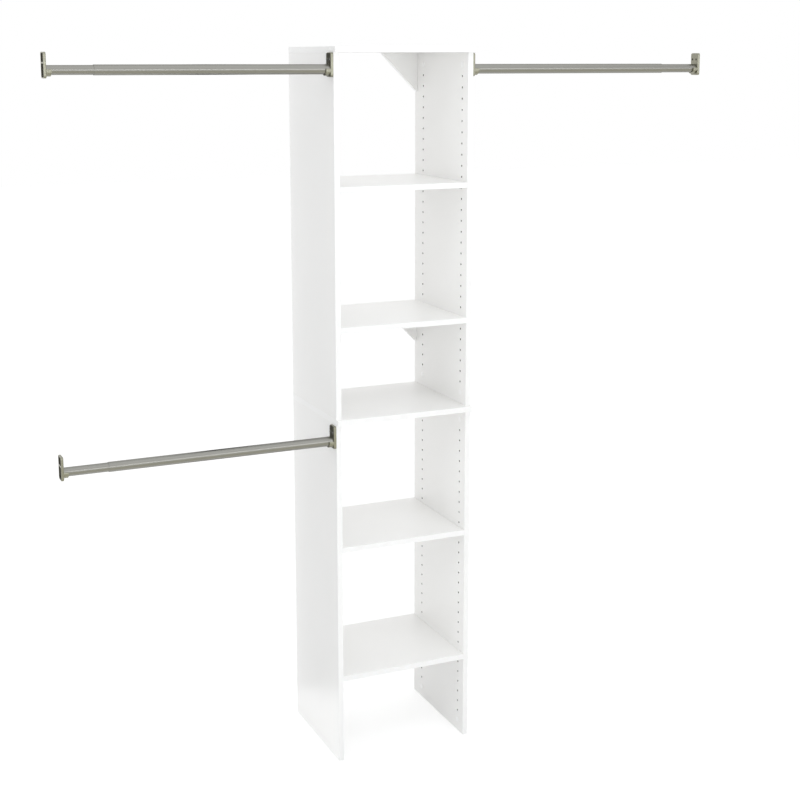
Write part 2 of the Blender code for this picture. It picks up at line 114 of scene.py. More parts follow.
def tint(tree, shader, value, first, second):
    """Runs the base colour from one tone to another."""
    mixed = tree.nodes.new("ShaderNodeMix")
    mixed.data_type = "RGBA"
    colour_in = [socket for socket in mixed.inputs if socket.type == "RGBA"]
    colour_in[0].default_value = (*first, 1.0)
    colour_in[1].default_value = (*second, 1.0)
    tree.links.new(spread(tree, value, 0.0, 1.0), mixed.inputs["Factor"])
    colour_out = [socket for socket in mixed.outputs if socket.type == "RGBA"]
    tree.links.new(colour_out[0], shader.inputs["Base Color"])


def roughen(tree, shader, value, limits):
    """Varies the roughness between two limits."""
    tree.links.new(spread(tree, value, *limits), shader.inputs["Roughness"])


def emboss(tree, shader, height, depth):
    """Raises the surface by a noise, to a real depth."""
    bump = tree.nodes.new("ShaderNodeBump")
    bump.inputs["Strength"].default_value = 1.0
    bump.inputs["Distance"].default_value = depth
    tree.links.new(height, bump.inputs["Height"])
    tree.links.new(bump.outputs["Normal"], shader.inputs["Normal"])


def white_melamine():
    """Melamine paper pressed on the board: white, satin, with a very fine pearl grain."""
    made, tree, shader = finish("white_melamine", MELAMINE_WHITE, 0.31)
    tint(tree, shader, mottle(tree, PATCH_OF_SHADE), MELAMINE_WHITE, MELAMINE_SHADE)
    roughen(tree, shader, mottle(tree, PATCH_OF_SHADE / 4), MELAMINE_ROUGH)
    emboss(tree, shader, mottle(tree, PEARL_GRAIN), PEARL_DEPTH)
    return made


def edge_band():
    """The band that is glued round the edges: a shade whiter and smoother than the faces."""
    made, tree, shader = finish("edge_band", BAND_WHITE, BAND_ROUGH)
    tint(tree, shader, mottle(tree, PATCH_OF_SHADE / 2), BAND_WHITE, BAND_SHADE)
    emboss(tree, shader, mottle(tree, PEARL_GRAIN * 2), PEARL_DEPTH / 2)
    return made


def glue_line():
    """The hair-thin line of glue and trimmed edge between a face and its band."""
    made, tree, shader = finish("glue_line", GLUE_GREY, GLUE_ROUGH)
    tint(tree, shader, mottle(tree, GLUE_SPECK), GLUE_GREY, MELAMINE_SHADE)
    return made


# CORE is the drilled core, whose dark colour is painted shade inside the holes.
FACE, BAND, SEAM, CORE = range(4)
BOARD_FINISHES = (white_melamine(), edge_band(), glue_line())


def inset_outline(outline, inset):
    """An outline whose edges have all moved in by the same amount. It runs anticlockwise."""
    moved = []
    for n, corner in enumerate(outline):
        before = (corner - outline[n - 1]).normalized()
        after = (outline[(n + 1) % len(outline)] - corner).normalized()
        inward = Vector((-before.y, before.x)) + Vector((-after.y, after.x))
        moved.append(corner + inward * inset / (1.0 + before.dot(after)))
    return moved


def edge_profile(thickness):
    """Inset and depth of each line round a board's edge, from one face to the other."""
    angles = [math.radians(turn) for turn in (0, 30, 60, 90)]
    near = [
        (BAND_FROM_EDGE + SEAM_WIDTH, 0.0),
        (BAND_FROM_EDGE + SEAM_WIDTH / 2, SEAM_WIDTH / 2),
        (BAND_FROM_EDGE, 0.0),
    ]
    near += [(EDGE_ROUND * (1 - math.sin(a)), EDGE_ROUND * (1 - math.cos(a))) for a in angles]
    return near + [(inset, thickness - depth) for inset, depth in reversed(near)]


def bridge(bm, first, second, finish_number):
    """Joins two rings of points by a strip of faces with one finish."""
    count = len(first)
    for n in range(count):
        after = (n + 1) % count
        face = bm.faces.new((first[n], first[after], second[after], second[n]))
        face.material_index = finish_number


def edge_strip(bm, first_ring, outline, thickness, place):
    """Wraps a board's edge from the ring round one face to the ring round the other."""
    ring = first_ring
    profile = edge_profile(thickness)
    last = len(profile) - 1
    for n, (inset, depth) in enumerate(profile[1:], start=1):
        new_ring = [bm.verts.new(place(point, depth)) for point in inset_outline(outline, inset)]
        band = SEAM if n <= 2 or n > last - 2 else BAND
        bridge(bm, ring, new_ring, band)
        ring = new_ring
    return ring


def banded_board(outline, thickness, place):
    """A whole board: one face, the strip round its edges, and the other face."""
    bm = bmesh.new()
    inset = edge_profile(thickness)[0][0]
    ring = [bm.verts.new(place(point, 0.0)) for point in inset_outline(outline, inset)]
    bm.faces.new(ring)
    bm.faces.new(edge_strip(bm, ring, outline, thickness, place))
    return bm


def add_piece(name, bm, finishes, node, body="tower"):
    """Puts a finished piece where its node is and makes it ride with that node's body."""
    bmesh.ops.recalc_face_normals(bm, faces=bm.faces)
    mesh = bpy.data.meshes.new(name)
    bm.to_mesh(mesh)
    bm.free()
    return place_piece(name, mesh, finishes, node, body)


def place_piece(name, mesh, finishes, node, body="tower"):
    """The same, for a mesh that is ready."""
    piece = bpy.data.objects.new(name, mesh)
    bpy.context.scene.collection.objects.link(piece)
    for material in finishes:
        if material.name not in mesh.materials:
            mesh.materials.append(material)
    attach(piece, body)
    if node:
        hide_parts(node)
    return piece


def rectangle(low, high, first, second):
    """The outline of a node's box across two axes."""
    near, far = Vector((low[first], low[second])), Vector((high[first], high[second]))
    return [near, Vector((far.x, near.y)), far, Vector((near.x, far.y))]


def meeting_box(node, low_ends=(0, 0, 0), high_ends=(0, 0, 0)):
    """A board's box, drawn out by a hair where its end meets a neighbour, so that the joint is tight."""
    low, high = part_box(node)
    return low - MEETING * Vector(low_ends), high + MEETING * Vector(high_ends)


def lying_board(node, body="tower", reach=(0, 0, 0)):
    """A board that lies flat: a panel or a shelf."""
    low, high = meeting_box(node, reach, reach)

    def place(point, depth):
        return (point.x, point.y, low.z + depth)

    bm = banded_board(rectangle(low, high, 0, 1), high.z - low.z, place)
    add_piece(f"{node}_board", bm, BOARD_FINISHES, node, body)


for panel in ("top_panel", "middle_panel"):
    lying_board(panel)


# Plugs in the ends of the top panel
# Two white plastic plugs at either end fill the holes by which a second tower could be joined.
# They are pushed in up to their low, crowned heads.

PLUG_DIAMETER = 0.008
PLUG_CROWN = 0.0012
PLUG_DEPTH = 0.004
PLUGS_FROM_REAR = (0.096, 0.331)
PLUG_WHITE = (0.985, 0.985, 0.98)
PLASTIC_ROUGH = (0.29, 0.35)
ROUND_SIDES = 40
TINY = 0.000001
SHARP_ABOVE = 35.0


def cap_plastic():
    """Injection-moulded white plastic, a little glossier than the boards."""
    made, tree, shader = finish("cap_plastic", PLUG_WHITE, 0.3)
    roughen(tree, shader, mottle(tree, PEARL_GRAIN * 3), PLASTIC_ROUGH)
    return made


CAP_PLASTIC = cap_plastic()


def lay_along_x(bm):
    """Tips a mesh over, so that what was upright runs along X."""
    bmesh.ops.rotate(bm, verts=bm.verts, cent=(0, 0, 0), matrix=Matrix.Rotation(math.pi / 2, 3, "Y"))


def turn_about(bm):
    """Turns a mesh by half a turn, so that it points the other way along X."""
    bmesh.ops.rotate(bm, verts=bm.verts, cent=(0, 0, 0), matrix=Matrix.Rotation(math.pi, 3, "Z"))


def turned(profile, sides):
    """A mesh turned round X from (radius, distance) points, which start and end on the axis."""
    bm = bmesh.new()
    line = [bm.verts.new((radius, 0.0, height)) for radius, height in profile]
    edges = [bm.edges.new(pair) for pair in zip(line, line[1:])]
    bmesh.ops.spin(
        bm, geom=line + edges, cent=(0, 0, 0), axis=(0, 0, 1), angle=2 * math.pi, steps=sides,
        use_merge=True,
    )
    bmesh.ops.remove_doubles(bm, verts=bm.verts, dist=TINY)
    bmesh.ops.dissolve_degenerate(bm, edges=bm.edges, dist=TINY)
    lay_along_x(bm)
    return bm


def smooth(piece, sharp_above=SHARP_ABOVE):
    """Shades the round faces smooth and keeps the corners crisp."""
    piece.data.shade_smooth()
    piece.data.set_sharp_from_angle(angle=math.radians(sharp_above))


def crowned_disc(radius, crown, depth):
    """Profile of a round head: a low crown, a rounded rim and a straight side."""
    steps = [n / 6 for n in range(7)]
    top = [(radius * share, crown * (1 - share ** 4)) for share in steps]
    return [*top, (radius, -depth), (0.0, -depth)]


panel_low, panel_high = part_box("top_panel")
for side_name, face_x, outward in (("left", panel_low.x, -1), ("right", panel_high.x, 1)):
    for number, from_rear in enumerate(PLUGS_FROM_REAR, start=1):
        plug = turned(crowned_disc(PLUG_DIAMETER / 2, PLUG_CROWN, PLUG_DEPTH), ROUND_SIDES)
        if outward < 0:
            turn_about(plug)
        middle = (panel_low.z + panel_high.z) / 2
        bmesh.ops.translate(plug, verts=plug.verts, vec=(face_x, panel_high.y - from_rear, middle))
        plug_name = f"top_panel_{side_name}_plug_{number}"
        smooth(add_piece(plug_name, plug, (CAP_PLASTIC,), None))


# Side panels
# Four boards like the panels, drilled in the flat before they are put up: two columns of 5 mm
# shelf-pin holes at a pitch of 32 mm, and a 15 mm bore for a cam lock near each end.

HOLE_PITCH = 0.032
HOLE_RADIUS = 0.0025
HOLE_DEPTH = 0.012
HOLE_BREAK = 0.0005
HOLES_IN_COLUMN = 29
FRONT_COLUMN = 0.037
REAR_COLUMN = 0.059
CAM_BORE_RADIUS = 0.0075
CAM_BORE_DEPTH = 0.0128
CAM_FROM_END = 0.034
HOLE_SIDES = 14
BORE_SIDES = 32
# The chip colours are the core's brown darkened into painted shade for the inside of the holes.
CHIP_BROWN_WITH_PAINTED_SHADE = (0.05, 0.038, 0.028)
CHIP_DARK_WITH_PAINTED_SHADE = (0.025, 0.018, 0.013)
CHIP_LENGTH = 0.0022
CHIP_DEPTH = 0.0001
CHIP_ROUGH = 0.9


def particle_core():
    """The pressed wood chips that a drill lays bare, their brown darkened into painted shade for the
    inside of the holes.
    """
    made, tree, shader = finish("particle_core", CHIP_BROWN_WITH_PAINTED_SHADE, CHIP_ROUGH)
    chips = tree.nodes.new("ShaderNodeTexVoronoi")
    chips.inputs["Scale"].default_value = 1.0 / CHIP_LENGTH
    tree.links.new(on_piece(tree), chips.inputs["Vector"])
    tint(tree, shader, chips.outputs["Color"], CHIP_DARK_WITH_PAINTED_SHADE, CHIP_BROWN_WITH_PAINTED_SHADE)
    emboss(tree, shader, chips.outputs["Distance"], CHIP_DEPTH)
    return made


DRILLED_CORE_WITH_PAINTED_SHADE = particle_core()


def side_columns(low, high):
    """Distance along Y of the front and rear columns of a side."""
    return {"front": low.y + FRONT_COLUMN, "rear": high.y - REAR_COLUMN}


def cam_rows(low, high):
    """Height of the cam locks near the two ends of a side."""
    return {"bottom": low.z + CAM_FROM_END, "top": high.z - CAM_FROM_END}


def drilled_places(low, high):
    """Every bore in a side's inner face: its middle, radius, depth and number of sides."""
    middle = (low.z + high.z) / 2
    for y in side_columns(low, high).values():
        for n in range(HOLES_IN_COLUMN):
            z = middle + (n - (HOLES_IN_COLUMN - 1) / 2) * HOLE_PITCH
            yield Vector((y, z)), HOLE_RADIUS, HOLE_DEPTH, HOLE_SIDES
        for z in cam_rows(low, high).values():
            yield Vector((y, z)), CAM_BORE_RADIUS, CAM_BORE_DEPTH, BORE_SIDES


def circle(centre, radius, sides):
    """Points round a circle."""
    turns = [2 * math.pi * n / sides for n in range(sides)]
    return [centre + radius * Vector((math.cos(turn), math.sin(turn))) for turn in turns]


def drilled_side(node):
    """A side board with its holes drilled into the face that looks into the tower."""
    low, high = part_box(node)
    hand = 1 if low.x > 0 else -1
    inner_x = low.x if hand > 0 else high.x
    thickness = high.x - low.x
    on_the_floor = low.z < thickness
    outline = rectangle(*meeting_box(node, (0, 0, 0 if on_the_floor else 1), (0, 0, 1)), 1, 2)

    def place(point, depth):
        return (inner_x + hand * depth, point.x, point.y)

    bm = bmesh.new()
    inset = edge_profile(thickness)[0][0]
    outer_ring = [bm.verts.new(place(point, 0.0)) for point in inset_outline(outline, inset)]
    rims = [outer_ring]
    for centre, radius, depth, sides in drilled_places(low, high):
        rim = [bm.verts.new(place(p, 0.0)) for p in circle(centre, radius + HOLE_BREAK, sides)]
        wall_top = [bm.verts.new(place(p, HOLE_BREAK)) for p in circle(centre, radius, sides)]
        floor = [bm.verts.new(place(p, depth)) for p in circle(centre, radius, sides)]
        # Each hole's broken rim, wall and floor take the core finish, whose dark colour is painted
        # shade.
        bridge(bm, rim, wall_top, CORE)
        bridge(bm, wall_top, floor, CORE)
        bm.faces.new(floor).material_index = CORE
        rims.append(rim)
    edges = []
    for rim in rims:
        for first, second in zip(rim, rim[1:] + rim[:1]):
            edges.append(bm.edges.get((first, second)) or bm.edges.new((first, second)))
    bmesh.ops.triangle_fill(bm, use_beauty=True, use_dissolve=False, edges=edges, normal=(-hand, 0, 0))
    bm.faces.new(edge_strip(bm, outer_ring, outline, thickness, place))
    add_piece(f"{node}_board", bm, (*BOARD_FINISHES, DRILLED_CORE_WITH_PAINTED_SHADE), node)


SIDES = ("upper_left_side", "upper_right_side", "lower_left_side", "lower_right_side")
for side in SIDES:
    drilled_side(side)


# Shelves
# Four boards that stand flush with the front of the sides. The two fixed ones are held by
# fittings under their ends, and the two loose ones lie on pins.

SHELF_BODIES = {
    "upper_fixed_shelf": "tower",
    "lower_fixed_shelf": "tower",
    "upper_loose_shelf": "upper_shelf",
    "lower_loose_shelf": "lower_shelf",
}

for shelf, shelf_body in SHELF_BODIES.items():
    lying_board(shelf, shelf_body, reach=(1, 0, 0))


# Gussets
# Two triangles cut from the same board. They stand in the rear right corner, under the top panel
# and under the upper fixed shelf, keep the tower square, and take the screws into the wall.

GUSSET_TIP = 0.004


def gusset(node):
    """A triangular board whose square corner is at the top right."""
    low, high = meeting_box(node, high_ends=(1, 0, 1))
    outline = [
        Vector((high.x, low.z)), Vector((high.x, high.z)), Vector((low.x, high.z)),
        Vector((low.x, high.z - GUSSET_TIP)), Vector((high.x - GUSSET_TIP, low.z)),
    ]

    def place(point, depth):
        return (point.x, low.y + depth, point.y)

    bm = banded_board(outline, high.y - low.y, place)
    add_piece(f"{node}_board", bm, BOARD_FINISHES, node)


for brace in ("top_gusset", "shelf_gusset"):
    gusset(brace)


# Cam locks, their bolts and their covers
# Each cam is a die-cast disc that grips a bolt's head when it is turned. The bolts are zinc-plated
# steel. A thin white plastic cover is pushed over every cam bore, also at the floor.

COVER_RADIUS = 0.0084
COVER_CROWN = 0.0014
COVER_RIM = 0.0006
COVER_GAP = 0.00005
CAM_ENAMEL = (0.80, 0.80, 0.79)
ENAMEL_ROUGH = 0.35
ENAMEL_PATCH = 0.002
ENAMEL_GRAIN = 0.0006
ENAMEL_DEPTH = 0.00003
ZINC = (0.60, 0.60, 0.58)
ZINC_SHADE = (0.50, 0.50, 0.49)
ZINC_SPANGLE = 0.0015
ZINC_GRAIN = 0.0008
ZINC_ROUGH = (0.3, 0.42)


def cam_finish():
    """White enamel over a zinc casting."""
    made, tree, shader = finish("cam_enamel", CAM_ENAMEL, ENAMEL_ROUGH)
    tint(tree, shader, mottle(tree, ENAMEL_PATCH), CAM_ENAMEL, ZINC)
    emboss(tree, shader, mottle(tree, ENAMEL_GRAIN), ENAMEL_DEPTH)
    return made


def zinc_plate():
    """Bright zinc plating with a fine, slightly uneven grain."""
    made, tree, shader = finish("zinc_plate", ZINC, 0.32, metallic=1.0)
    tint(tree, shader, mottle(tree, ZINC_SPANGLE), ZINC, ZINC_SHADE)
    roughen(tree, shader, mottle(tree, ZINC_GRAIN), ZINC_ROUGH)
    return made


CAM_FINISH = cam_finish()
ZINC_PLATE = zinc_plate()

for node_name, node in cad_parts.items():
    if node_name.endswith("_cam") or node_name.endswith("_bolt"):
        node.data.materials.clear()
        node.data.materials.append(CAM_FINISH if node_name.endswith("_cam") else ZINC_PLATE)


def cover_profile():
    """A push-on cover: a low crown over a rounded rim, and a flat back."""
    radius = COVER_RADIUS
    rise = COVER_CROWN - COVER_RIM
    crown = [
        (radius * share, COVER_RIM + rise * math.cos(share * math.pi / 2) ** 0.5)
        for share in (0.0, 0.25, 0.5, 0.7, 0.85, 0.94, 0.98, 0.999)
    ]
    return [*crown, (radius, COVER_RIM), (radius, COVER_GAP), (0.0, COVER_GAP)]


for side in SIDES:
    low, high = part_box(side)
    hand = 1 if low.x > 0 else -1
    inner_x = low.x if hand > 0 else high.x
    for row, z in cam_rows(low, high).items():
        for column, y in side_columns(low, high).items():
            cover = turned(cover_profile(), ROUND_SIDES)
            if hand > 0:
                turn_about(cover)
            bmesh.ops.translate(cover, verts=cover.verts, vec=(inner_x, y, z))
            cover_name = side.replace("_side", f"_{row}_{column}_cam_cover")
            smooth(add_piece(cover_name, cover, (CAP_PLASTIC,), None))


# Shelf pins
# Four to each loose shelf: a zinc-plated steel peg with a collar that stops it at the board's
# face, and a flat tab that the shelf lies on.

PEG_RADIUS = 0.0022
PEG_POINT = 0.0006
COLLAR_RADIUS = 0.0036
COLLAR_THICKNESS = 0.0008
TAB_ROUND = 0.0006
PIN_SIDES = 24


def shelf_pin(node):
    """A pin whose peg lies in a hole and whose tab reaches into the tower."""
    low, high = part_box(node)
    hand = 1 if low.x > 0 else -1
    tip, reach = (high.x, low.x) if hand > 0 else (low.x, high.x)
    axis = Vector((0.0, (low.y + high.y) / 2, low.z + PEG_RADIUS))
    side_low, side_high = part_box(node.split("_")[0] + ("_right_side" if hand > 0 else "_left_side"))
    face = side_low.x if hand > 0 else side_high.x
    length = abs(tip - reach)
    stop = abs(face - reach)
    profile = [
        (0.0, 0.0), (PEG_RADIUS - PEG_POINT, 0.0), (PEG_RADIUS, PEG_POINT),
        (PEG_RADIUS, stop - COLLAR_THICKNESS), (COLLAR_RADIUS, stop - COLLAR_THICKNESS),
        (COLLAR_RADIUS, stop - COVER_GAP), (PEG_RADIUS, stop - COVER_GAP),
        (PEG_RADIUS, length - PEG_POINT), (PEG_RADIUS - PEG_POINT, length), (0.0, length),
    ]
    bm = turned(profile, PIN_SIDES)
    for vert in bm.verts:
        vert.co.z = min(vert.co.z, high.z - axis.z)
    tab = bmesh.new()
    bmesh.ops.create_cube(tab, size=1.0)
    width = high.y - low.y
    bmesh.ops.scale(tab, verts=tab.verts, vec=(stop, width, high.z - axis.z))
    bmesh.ops.translate(tab, verts=tab.verts, vec=(stop / 2, 0.0, (high.z - axis.z) / 2))
    bmesh.ops.bevel(
        tab, geom=tab.edges, offset=TAB_ROUND, offset_type="OFFSET", segments=3, profile=0.5,
        affect="EDGES",
    )
    extra = bpy.data.meshes.new("tab")
    tab.to_mesh(extra)
    tab.free()
    bm.from_mesh(extra)
    bpy.data.meshes.remove(extra)
    if hand < 0:
        turn_about(bm)
    bmesh.ops.translate(bm, verts=bm.verts, vec=(reach, axis.y, axis.z))
    smooth(add_piece(f"{node}_steel", bm, (ZINC_PLATE,), node))


for node_name in list(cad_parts):
    if node_name.endswith("_shelf_pin"):
        shelf_pin(node_name)


# Hang-rod tubes
# Thin steel tube, rolled and seam-welded, then plated in satin nickel. The outer tube is held at
# the tower and the inner one at the wall, and they slide one in the other.

NICKEL = (0.29, 0.287, 0.267)
NICKEL_WORN = (0.278, 0.275, 0.254)
NICKEL_AT_EDGE = (0.75, 0.75, 0.73)
TUBE_WALL = 0.0009
TUBE_SIDES = 96
LIP_ROUND = 0.0004
POLISH_STREAK = 0.0012
STREAK_ALONG = (0.02, 1.0, 1.0)
SHEEN_ALONG = (0.03, 1.0, 1.0)
STREAK_DEPTH = 0.000002
NICKEL_ROUGH = (0.29, 0.31)


def satin_nickel():
    """Satin nickel on drawn tube: fine polishing streaks that run along its length."""
    made, tree, shader = finish("satin_nickel", NICKEL, 0.3, metallic=1.0)
    shader.inputs["Specular Tint"].default_value = (*NICKEL_AT_EDGE, 1.0)
    streaks = mottle(tree, POLISH_STREAK, STREAK_ALONG, detail=3.0)
    tint(tree, shader, streaks, NICKEL_WORN, NICKEL)
    roughen(tree, shader, mottle(tree, POLISH_STREAK / 2, SHEEN_ALONG), NICKEL_ROUGH)
    emboss(tree, shader, streaks, STREAK_DEPTH)
    return made


SATIN_NICKEL = satin_nickel()


def tube_profile(radius, length):
    """The wall of a tube with rounded lips, as a closed line."""
    bore = radius - TUBE_WALL
    middle = (radius + bore) / 2
    lips = []
    for end, outward in ((length, 1), (0.0, -1)):
        lip = [(radius, end - outward * LIP_ROUND), (middle, end), (bore, end - outward * LIP_ROUND)]
        lips += lip if outward > 0 else lip[::-1]
    return lips


def tube(node, body):
    """A tube along X."""
    low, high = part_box(node)
    radius = (high.y - low.y) / 2
    length = high.x - low.x
    bm = bmesh.new()
    line = [bm.verts.new((r, 0.0, h)) for r, h in tube_profile(radius, length)]
    edges = [bm.edges.new(pair) for pair in zip(line, line[1:] + line[:1])]
    bmesh.ops.spin(
        bm, geom=line + edges, cent=(0, 0, 0), axis=(0, 0, 1), angle=2 * math.pi,
        steps=TUBE_SIDES, use_merge=True,
    )
    lay_along_x(bm)
    centre = (low + high) / 2
    bmesh.ops.translate(bm, verts=bm.verts, vec=(low.x, centre.y, centre.z))
    smooth(add_piece(f"{node}_nickel", bm, (SATIN_NICKEL,), node, body))


RODS = {"upper_left": -1, "lower_left": -1, "upper_right": 1}
for rod in RODS:
    tube(f"{rod}_outer_tube", "tower")
    tube(f"{rod}_inner_tube", f"{rod}_slide")


# Rod flanges
# Each is one zinc die casting, plated like the tubes but a little yellower: a plate with two screw
# holes, hollowed at the back to save metal, and a cup, open at the top, that the tube drops into.

CAST_NICKEL = (0.34, 0.335, 0.268)
CAST_SHADE = (0.265, 0.26, 0.208)
CAST_PATCH = 0.0022
CAST_SHEEN = 0.002
CAST_GRAIN = 0.0011
CAST_DEPTH = 0.00006
CAST_ROUGH = (0.3, 0.42)
# The recess colours are partly the dull, thin plating of hollows and partly painted shade.
PAINTED_SHADE_RECESS_GREY = (0.13, 0.125, 0.095)
PAINTED_SHADE_RECESS_DARK = (0.045, 0.043, 0.034)
RECESS_PATCH = 0.002
RECESS_ROUGH = 0.7
RECESS_PLATING = 0.4
PLATE_THICKNESS = 0.007
PLATE_SKIN = 0.003
PLATE_RIM = 0.0028
PLATE_CORNER = 0.006
PLATE_EASING = 0.0022
CUP_LENGTH = 0.013
CUP_WALL = 0.0035
CUP_LIP = 0.002
CUP_CLEARANCE = 0.0003
RIB = 0.004
SCREW_SPACING = 0.018
SCREW_BELOW_TOP = 0.019
SCREW_HOLE_RADIUS = 0.0024
SINK_RADIUS = 0.0035
SCREW_HOLE_SIDES = 24
CUP_ROUND = 0.0012
CUP_SIDES = 64
CHEEK_SHARE = 0.6
CHEEK_ROUND = 0.0004
CRISP = 0.0001
FLANGE_SHARP = 25.0
OVERRUN = 0.002


def cast_nickel():
    """Satin nickel on a casting: the skin has a slight grain and darker hollows."""
    made, tree, shader = finish("cast_nickel", CAST_NICKEL, 0.36, metallic=1.0)
    tint(tree, shader, mottle(tree, CAST_PATCH), CAST_SHADE, CAST_NICKEL)
    roughen(tree, shader, mottle(tree, CAST_SHEEN), CAST_ROUGH)
    emboss(tree, shader, mottle(tree, CAST_GRAIN, detail=3.0), CAST_DEPTH)
    return made


CAST_METAL = cast_nickel()


def dull_recess():
    """The inside of deep hollows and holes: plating that is thin and dull there, made much darker as
    painted shade.
    """
    made, tree, shader = finish("dull_recess", PAINTED_SHADE_RECESS_GREY, RECESS_ROUGH, metallic=RECESS_PLATING)
    tint(tree, shader, mottle(tree, RECESS_PATCH), PAINTED_SHADE_RECESS_GREY, PAINTED_SHADE_RECESS_DARK)
    return made


RECESS = dull_recess()


def rounded_block(size, centre, corner, sides=8):
    """A block with round corners where its edges run along X."""
    bm = bmesh.new()
    bmesh.ops.create_cube(bm, size=1.0)
    bmesh.ops.scale(bm, verts=bm.verts, vec=size)
    along_x = [e for e in bm.edges if abs(e.verts[0].co.x - e.verts[1].co.x) > size[0] / 2]
    bmesh.ops.bevel(
        bm, geom=along_x, offset=corner, offset_type="OFFSET", segments=sides, profile=0.5,
        affect="EDGES",
    )
    bmesh.ops.translate(bm, verts=bm.verts, vec=centre)
    return bm


def round_bar(radius, start, end, y, z, sides=CUP_SIDES):
    """A closed bar along X, for a bore or for the foot of a cup."""
    bm = turned([(0.0, 0.0), (radius, 0.0), (radius, end - start), (0.0, end - start)], sides)
    bmesh.ops.translate(bm, verts=bm.verts, vec=(start, y, z))
    return bm


def workpiece(name, bm, material):
    """A loose object of one material, to be shaped or to shape another with."""
    bmesh.ops.recalc_face_normals(bm, faces=bm.faces)
    mesh = bpy.data.meshes.new(name)
    bm.to_mesh(mesh)
    bm.free()
    mesh.materials.append(material)
    loose = bpy.data.objects.new(name, mesh)
    bpy.context.scene.collection.objects.link(loose)
    return loose


def shape_with(piece, bm, operation, lining):
    """Adds a form to a piece or takes it away. The new faces get the lining's material."""
    former = workpiece("former", bm, lining)
    step = piece.modifiers.new(operation, "BOOLEAN")
    step.operation = operation
    step.object = former
    step.material_mode = "TRANSFER"
    graph = bpy.context.evaluated_depsgraph_get()
    shaped = bpy.data.meshes.new_from_object(piece.evaluated_get(graph))
    piece.modifiers.clear()
    blank, tool = piece.data, former.data
    piece.data = shaped
    bpy.data.objects.remove(former)
    bpy.data.meshes.remove(blank)
    bpy.data.meshes.remove(tool)


def set_in_place(loose, place, outward):
    """Frees the mesh of a loose object and sets it where it belongs, facing either way along X."""
    mesh = loose.data
    bpy.data.objects.remove(loose)
    turn = Matrix.Identity(4) if outward > 0 else Matrix.Rotation(math.pi, 4, "Z")
    mesh.transform(Matrix.Translation(place) @ turn)
    mesh.update()
    return mesh


def plate_blank(width, height):
    """The plate of a flange: its back at X = 0, its front edges eased."""
    blank = rounded_block((PLATE_THICKNESS, width, height), (PLATE_THICKNESS / 2, 0, 0), PLATE_CORNER)
    front = [e for e in blank.edges if all(v.co.x > PLATE_THICKNESS / 2 for v in e.verts)]
    bmesh.ops.bevel(
        blank, geom=front, offset=PLATE_EASING, offset_type="OFFSET", segments=4, profile=0.5,
        affect="EDGES",
    )
    return workpiece("flange_casting", blank, CAST_METAL)


def add_cup(casting, inside, axis):
    """Joins a round foot and two upright cheeks to the plate, then cuts the seat for the tube."""
    outside = inside + CUP_WALL
    buried = PLATE_THICKNESS - PLATE_SKIN / 2
    tip = PLATE_THICKNESS + CUP_LENGTH
    turns = [math.radians(turn) for turn in (0, 22.5, 45, 67.5, 90)]
    lip = [
        (outside - CUP_ROUND * (1 - math.cos(a)), tip - buried - CUP_ROUND * (1 - math.sin(a)))
        for a in turns
    ]
    foot = turned([(0.0, 0.0), (outside, 0.0), *lip, (0.0, tip - buried)], CUP_SIDES)
    bmesh.ops.translate(foot, verts=foot.verts, vec=(buried, 0.0, axis))
    shape_with(casting, foot, "UNION", CAST_METAL)
    cheek_height = outside * CHEEK_SHARE
    cheeks = rounded_block(
        (tip - buried, 2 * outside, cheek_height),
        ((tip + buried) / 2, 0.0, axis + CUP_LIP - cheek_height / 2), CHEEK_ROUND, 2,
    )
    shape_with(casting, cheeks, "UNION", CAST_METAL)
    reach = CUP_LENGTH + OVERRUN
    above = rounded_block(
        (reach, 3 * outside, outside),
        (PLATE_THICKNESS + reach / 2, 0.0, axis + CUP_LIP + outside / 2), CRISP, 1,
    )
    shape_with(casting, above, "DIFFERENCE", CAST_METAL)
    seat = round_bar(inside, PLATE_THICKNESS, tip + OVERRUN, 0.0, axis)
    shape_with(casting, seat, "DIFFERENCE", CAST_METAL)
    mouth = rounded_block(
        (reach, 2 * inside, outside),
        (PLATE_THICKNESS + reach / 2, 0.0, axis + outside / 2), CRISP, 1,
    )
    shape_with(casting, mouth, "DIFFERENCE", CAST_METAL)


def hollow_back(casting, width, height, rib):
    """Sinks two hollows into the back of the plate and leaves a rib between them."""
    ceiling = height / 2 - PLATE_RIM
    depth = PLATE_THICKNESS - PLATE_SKIN
    for bottom, top in ((-ceiling, rib - RIB / 2), (rib + RIB / 2, ceiling)):
        hollow = rounded_block(
            (depth + OVERRUN, width - 2 * PLATE_RIM, top - bottom),
            ((depth - OVERRUN) / 2, 0.0, (top + bottom) / 2), PLATE_CORNER - PLATE_RIM,
        )
        # Each hollow is lined with the recess finish: painted shade on dull plating.
        shape_with(casting, hollow, "DIFFERENCE", RECESS)


def drill_for_screws(casting, height):
    """Drills two countersunk holes side by side through the upper part of the plate."""
    z = height / 2 - SCREW_BELOW_TOP
    rise = SINK_RADIUS - SCREW_HOLE_RADIUS
    for side in (-1, 1):
        y = side * SCREW_SPACING / 2
        hole = round_bar(SCREW_HOLE_RADIUS, -OVERRUN, PLATE_THICKNESS + OVERRUN, y, z, SCREW_HOLE_SIDES)
        # The hole and its countersink are lined with the recess finish: painted shade on dull plating.
        shape_with(casting, hole, "DIFFERENCE", RECESS)
        cone = turned([
            (0.0, 0.0), (SCREW_HOLE_RADIUS, 0.0), (SINK_RADIUS, rise),
            (SINK_RADIUS, rise + OVERRUN), (0.0, rise + OVERRUN),
        ], SCREW_HOLE_SIDES)
        bmesh.ops.translate(cone, verts=cone.verts, vec=(PLATE_THICKNESS - rise, y, z))
        shape_with(casting, cone, "DIFFERENCE", RECESS)


